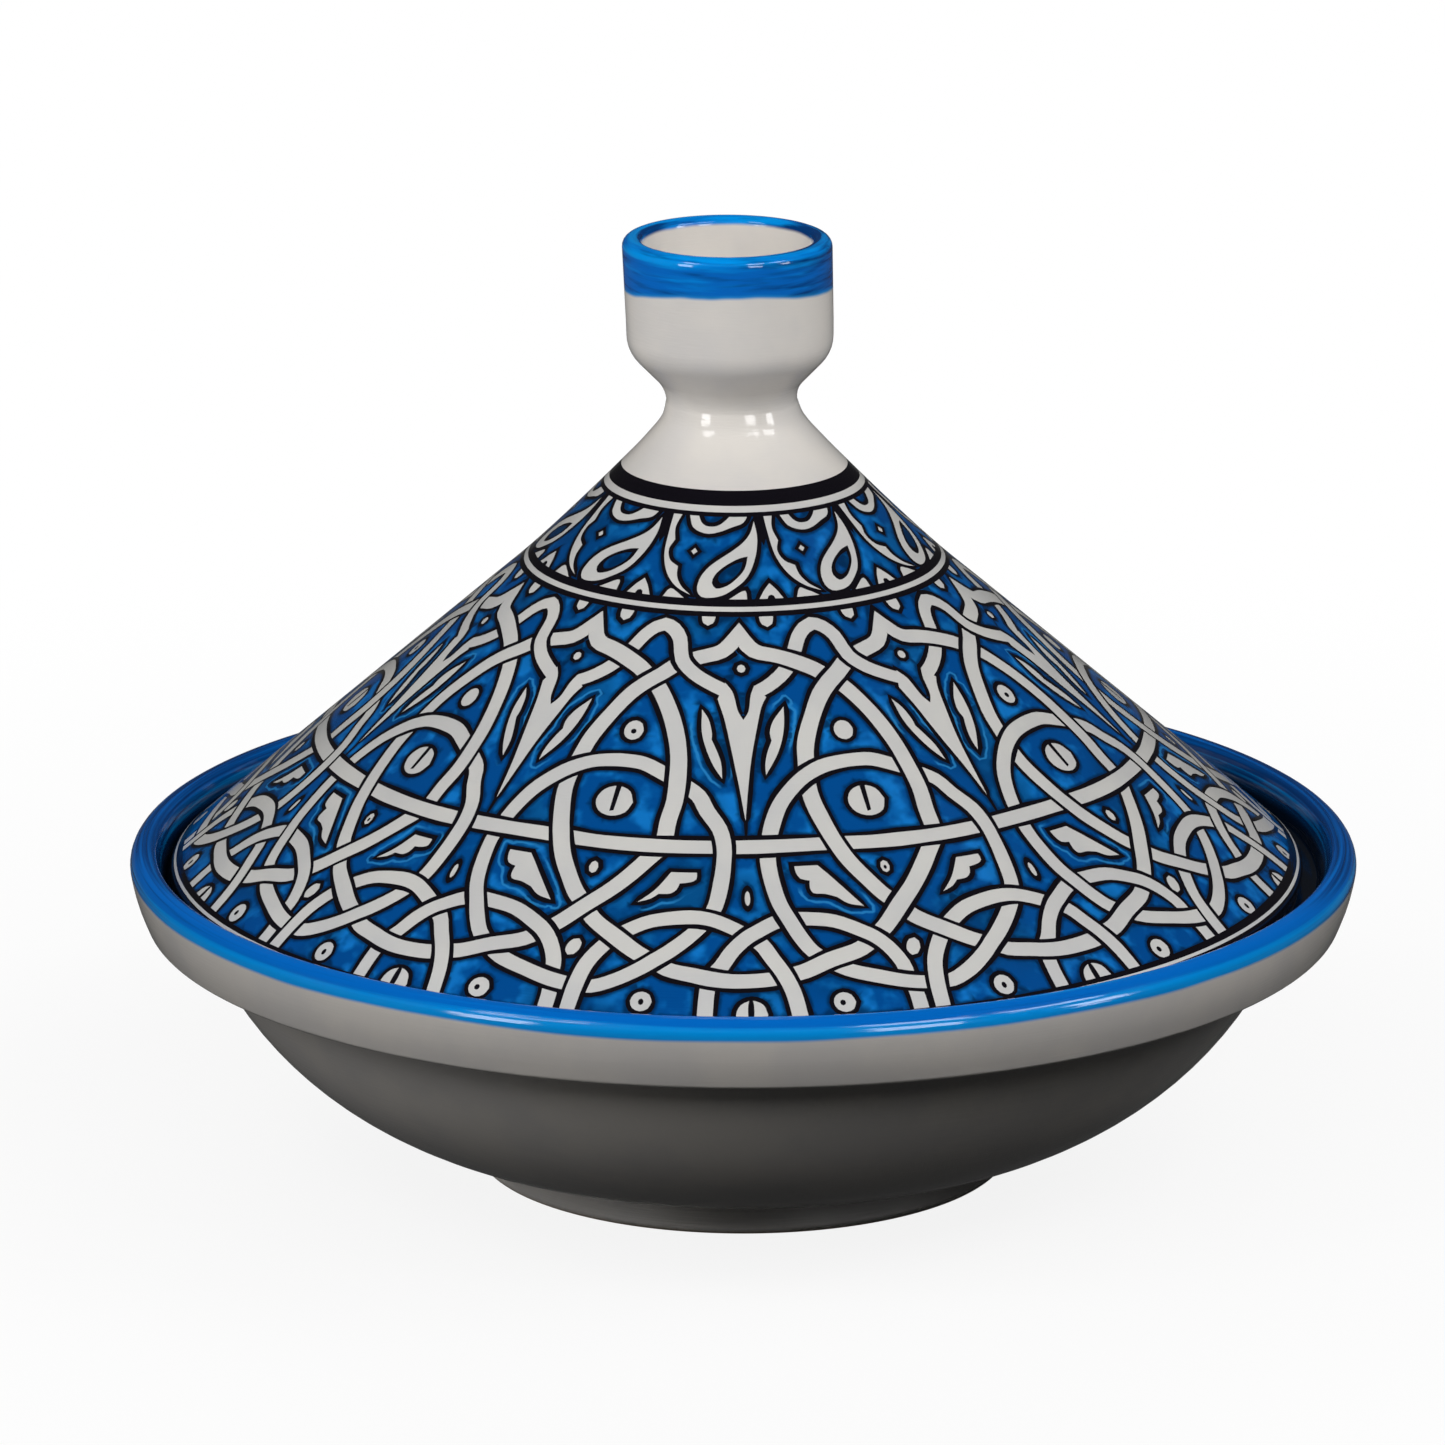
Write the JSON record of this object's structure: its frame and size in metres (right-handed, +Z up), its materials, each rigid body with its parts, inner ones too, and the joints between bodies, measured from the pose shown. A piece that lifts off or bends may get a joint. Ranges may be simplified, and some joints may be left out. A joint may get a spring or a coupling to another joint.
{
  "type": "tagine pot",
  "caption": "Footed shallow cooking dish with a gallery rim, and a tall conical lid with a cup-shaped knob that lifts off.",
  "frame": {"origin": "centre of the foot ring, on the surface the dish stands on", "axes": "+Z up along the axis both pieces were thrown on; -Y faces the viewer of the picture, +X to the viewer's right"},
  "size_m": [0.3, 0.3, 0.2312],
  "materials": {
    "dish_glaze": "glossy",
    "lid_glaze": "glossy"
  },
  "bodies": {
    "dish": {"base_dish": "dish_glaze"},
    "lid": {"lid": "lid_glaze"}
  },
  "joints": [
    {"name": "lid_lift", "type": "slide", "parent": "dish", "child": "lid", "axis": [0, 0, 1], "range_m": [0, 0.2]}
  ]
}
